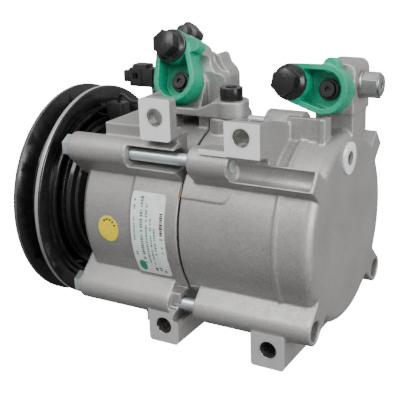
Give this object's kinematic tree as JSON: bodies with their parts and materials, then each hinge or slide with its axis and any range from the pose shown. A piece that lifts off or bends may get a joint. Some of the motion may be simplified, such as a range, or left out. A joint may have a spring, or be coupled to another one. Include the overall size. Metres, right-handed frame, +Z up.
{
  "type": "automotive air conditioning compressor",
  "caption": "Belt driven swash plate piston compressor with electromagnetic clutch, one-groove pulley, cast aluminium housings, mounting ears and two capped hose ports.",
  "frame": {"origin": "on the shaft axis, at the middle of the pulley's belt groove", "axes": "+X along the shaft towards the rear head, -Y out of the mounting ears' faces, +Z up towards the hose ports"},
  "size_m": [0.2156, 0.137, 0.1775],
  "materials": {
    "cast_aluminium": "satin as-cast aluminium with machined faces",
    "zinc_steel": "bright zinc plated steel",
    "black_paint": "gloss black painted steel",
    "black_oxide_steel": "black oxide steel",
    "green_plastic": "moulded green polyethylene",
    "black_rubber": "matt black rubber",
    "black_plastic": "moulded black plastic",
    "bearing_steel": "ground bearing steel",
    "machined_steel": "machined steel",
    "machined_aluminium": "machined aluminium alloy",
    "cast_iron": "machined nodular iron",
    "spring_steel": "blue spring steel",
    "winding": "resin potted copper winding",
    "gasket": "coated steel and rubber gasket"
  },
  "bodies": {
    "housing": {"front_housing": "cast_aluminium", "rear_housing": "cast_aluminium", "joint_seals": "gasket", "through_bolts": "zinc_steel", "oil_plug": "zinc_steel", "service_manifold": "cast_aluminium", "manifold_screw": "black_oxide_steel", "valve_cap": "black_plastic", "front_port_cap": "green_plastic", "rear_port_cap": "green_plastic", "cap_bolts": "black_oxide_steel", "port_plugs": "black_rubber", "relief_valve": "zinc_steel", "shaft_seal": "black_rubber", "seal_snap_ring": "spring_steel", "bearing_inner_race": "bearing_steel", "field_coil": "black_paint", "coil_winding": "winding", "coil_terminal": "black_plastic", "coil_snap_ring": "spring_steel", "coil_lead": "black_plastic", "connector": "black_plastic", "connector_bracket": "zinc_steel", "needle_bearings": "bearing_steel", "head_gaskets": "gasket", "suction_reeds": "spring_steel", "front_cylinder_block": "machined_aluminium", "front_thrust_bearing": "bearing_steel", "front_valve_plate": "machined_steel", "front_discharge_reed": "spring_steel", "front_reed_stop": "machined_steel", "rear_cylinder_block": "machined_aluminium", "rear_thrust_bearing": "bearing_steel", "rear_valve_plate": "machined_steel", "rear_discharge_reed": "spring_steel", "rear_reed_stop": "machined_steel"},
    "pulley": {"pulley": "black_paint", "bearing_outer_race": "bearing_steel", "bearing_shields": "machined_steel"},
    "bearing_cage": {"bearing_cage": "black_plastic", "bearing_balls": "bearing_steel"},
    "drive_shaft": {"drive_shaft": "machined_steel", "swash_plate": "cast_iron", "clutch_hub": "machined_steel", "shaft_nut": "zinc_steel", "leaf_springs": "spring_steel", "hub_rivets": "zinc_steel"},
    "armature": {"armature_plate": "machined_steel", "plate_rivets": "zinc_steel"},
    "rear_shoes": {"rear_shoes": "machined_steel"},
    "front_shoe_1": {"front_shoe_1": "machined_steel"},
    "piston_1": {"piston_1": "machined_aluminium"},
    "front_shoe_2": {"front_shoe_2": "machined_steel"},
    "piston_2": {"piston_2": "machined_aluminium"},
    "front_shoe_3": {"front_shoe_3": "machined_steel"},
    "piston_3": {"piston_3": "machined_aluminium"},
    "front_shoe_4": {"front_shoe_4": "machined_steel"},
    "piston_4": {"piston_4": "machined_aluminium"},
    "front_shoe_5": {"front_shoe_5": "machined_steel"},
    "piston_5": {"piston_5": "machined_aluminium"}
  },
  "joints": [
    {"name": "pulley_spin", "type": "hinge", "parent": "housing", "child": "pulley", "pos_m": [0, 0, 0], "axis": [1, 0, 0], "continuous": true},
    {"name": "bearing_cage_spin", "type": "hinge", "parent": "housing", "child": "bearing_cage", "pos_m": [0, 0, 0], "axis": [1, 0, 0], "continuous": true},
    {"name": "shaft_spin", "type": "hinge", "parent": "housing", "child": "drive_shaft", "pos_m": [0, 0, 0], "axis": [1, 0, 0], "continuous": true},
    {"name": "armature_pull", "type": "slide", "parent": "drive_shaft", "child": "armature", "axis": [1, 0, 0], "range_m": [0, 0.0005], "stiffness_N_per_m": 20000, "deforming": ["leaf_springs"]},
    {"name": "rear_shoes_nutate", "type": "hinge", "parent": "drive_shaft", "child": "rear_shoes", "pos_m": [0.098, 0, 0], "axis": [0.9582, -0.2689, -0.0979], "continuous": true},
    {"name": "front_shoe_1_turn", "type": "hinge", "parent": "rear_shoes", "child": "front_shoe_1", "pos_m": [0.10125, -0.00045, 0.03303], "axis": [0.9582, -0.2689, -0.0979], "continuous": true},
    {"name": "piston_1_stroke", "type": "hinge", "parent": "front_shoe_1", "child": "piston_1", "pos_m": [0.10125, -0.00045, 0.03303], "axis": [1, 0, 0], "continuous": true},
    {"name": "front_shoe_2_turn", "type": "hinge", "parent": "rear_shoes", "child": "front_shoe_2", "pos_m": [0.09051, -0.03054, 0.01063], "axis": [0.9582, -0.2689, -0.0979], "continuous": true},
    {"name": "piston_2_stroke", "type": "hinge", "parent": "front_shoe_2", "child": "piston_2", "pos_m": [0.09051, -0.03054, 0.01063], "axis": [1, 0, 0], "continuous": true},
    {"name": "front_shoe_3_turn", "type": "hinge", "parent": "rear_shoes", "child": "front_shoe_3", "pos_m": [0.09012, -0.01843, -0.02646], "axis": [0.9582, -0.2689, -0.0979], "continuous": true},
    {"name": "piston_3_stroke", "type": "hinge", "parent": "front_shoe_3", "child": "piston_3", "pos_m": [0.09012, -0.01843, -0.02646], "axis": [1, 0, 0], "continuous": true},
    {"name": "front_shoe_4_turn", "type": "hinge", "parent": "rear_shoes", "child": "front_shoe_4", "pos_m": [0.10062, 0.01915, -0.02699], "axis": [0.9582, -0.2689, -0.0979], "continuous": true},
    {"name": "piston_4_stroke", "type": "hinge", "parent": "front_shoe_4", "child": "piston_4", "pos_m": [0.10062, 0.01915, -0.02699], "axis": [1, 0, 0], "continuous": true},
    {"name": "front_shoe_5_turn", "type": "hinge", "parent": "rear_shoes", "child": "front_shoe_5", "pos_m": [0.10749, 0.03027, 0.00978], "axis": [0.9582, -0.2689, -0.0979], "continuous": true},
    {"name": "piston_5_stroke", "type": "hinge", "parent": "front_shoe_5", "child": "piston_5", "pos_m": [0.10749, 0.03027, 0.00978], "axis": [1, 0, 0], "continuous": true}
  ],
  "couplings": [
    {"joint": "bearing_cage_spin", "follows": "pulley_spin", "ratio": 0.56437},
    {"joint": "rear_shoes_nutate", "follows": "shaft_spin", "ratio": -1},
    {"joint": "front_shoe_1_turn", "follows": "shaft_spin", "ratio": 1},
    {"joint": "piston_1_stroke", "follows": "shaft_spin", "ratio": -1},
    {"joint": "front_shoe_2_turn", "follows": "shaft_spin", "ratio": 1},
    {"joint": "piston_2_stroke", "follows": "shaft_spin", "ratio": -1},
    {"joint": "front_shoe_3_turn", "follows": "shaft_spin", "ratio": 1},
    {"joint": "piston_3_stroke", "follows": "shaft_spin", "ratio": -1},
    {"joint": "front_shoe_4_turn", "follows": "shaft_spin", "ratio": 1},
    {"joint": "piston_4_stroke", "follows": "shaft_spin", "ratio": -1},
    {"joint": "front_shoe_5_turn", "follows": "shaft_spin", "ratio": 1},
    {"joint": "piston_5_stroke", "follows": "shaft_spin", "ratio": -1}
  ]
}
